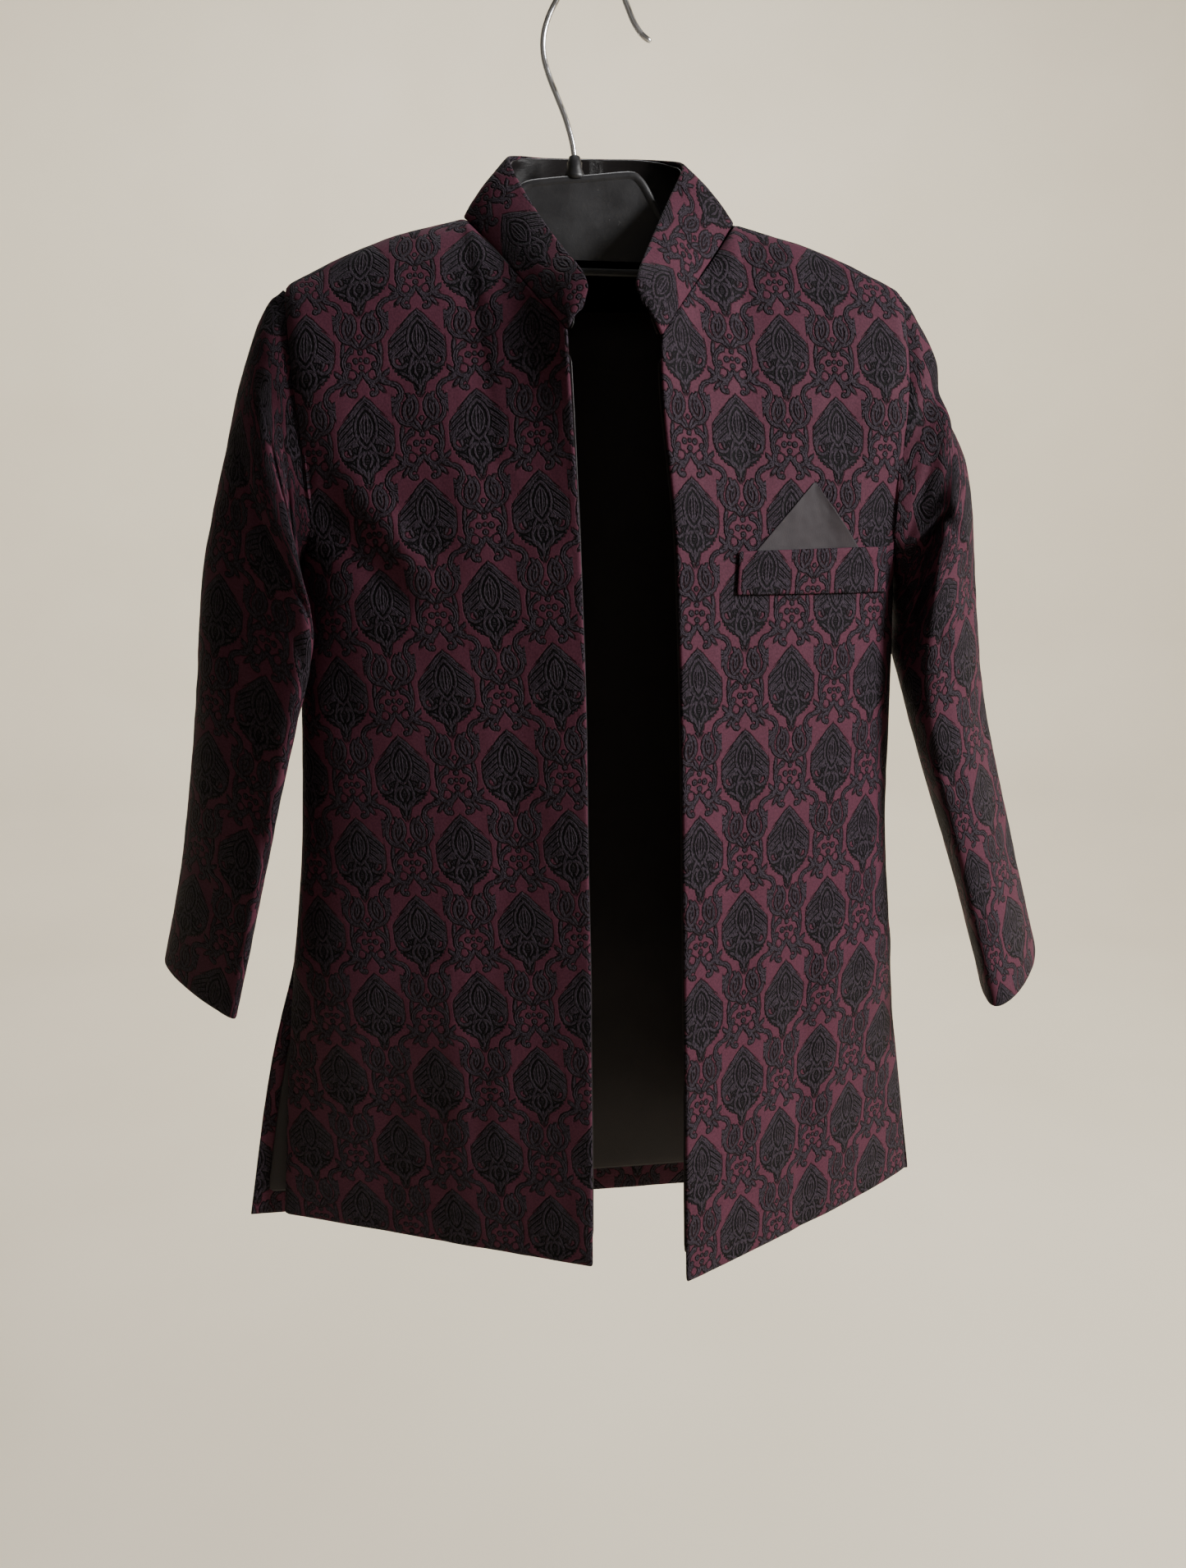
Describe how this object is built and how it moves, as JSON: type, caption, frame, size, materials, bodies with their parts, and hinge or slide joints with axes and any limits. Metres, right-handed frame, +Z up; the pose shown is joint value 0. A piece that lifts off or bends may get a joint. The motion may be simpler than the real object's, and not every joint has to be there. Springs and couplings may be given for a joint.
{
  "type": "sherwani coat on a hanger",
  "caption": "Short open brocade sherwani coat with a stand collar, long sleeves, side slits and a breast pocket, hanging on a moulded hanger with a wire hook.",
  "frame": {"origin": "inner top of the hook's bend, where a rail or a finger carries it", "axes": "+X to the wearer's left, +Y to the back, +Z up"},
  "size_m": [0.4561, 0.1345, 0.5687],
  "materials": {
    "brocade_front_right": "black-on-burgundy figured brocade",
    "brocade_front_left": "black-on-burgundy figured brocade",
    "brocade_back": "black-on-burgundy figured brocade",
    "brocade_sleeve_right": "black-on-burgundy figured brocade",
    "brocade_sleeve_left": "black-on-burgundy figured brocade",
    "brocade_collar": "black-on-burgundy figured brocade",
    "brocade_welt": "black-on-burgundy figured brocade",
    "satin_back": "grey-brown satin",
    "satin_right": "grey-brown satin",
    "satin_left": "grey-brown satin",
    "satin_collar": "dark satin",
    "satin_square": "grey-brown satin",
    "black_plastic": "moulded, slightly glossy",
    "chrome_wire": "bright plated wire"
  },
  "bodies": {
    "root": {"front_right": "brocade_front_right", "front_left": "brocade_front_left", "back": "brocade_back", "sleeve_right": "brocade_sleeve_right", "sleeve_left": "brocade_sleeve_left", "collar": "brocade_collar", "lining_front_right": "satin_right", "lining_front_left": "satin_left", "lining_back": "satin_back", "collar_lining": "satin_collar", "pocket_welt": "brocade_welt", "pocket_square": "satin_square", "hanger_body": "black_plastic", "hanger_hook": "chrome_wire"}
  },
  "joints": []
}
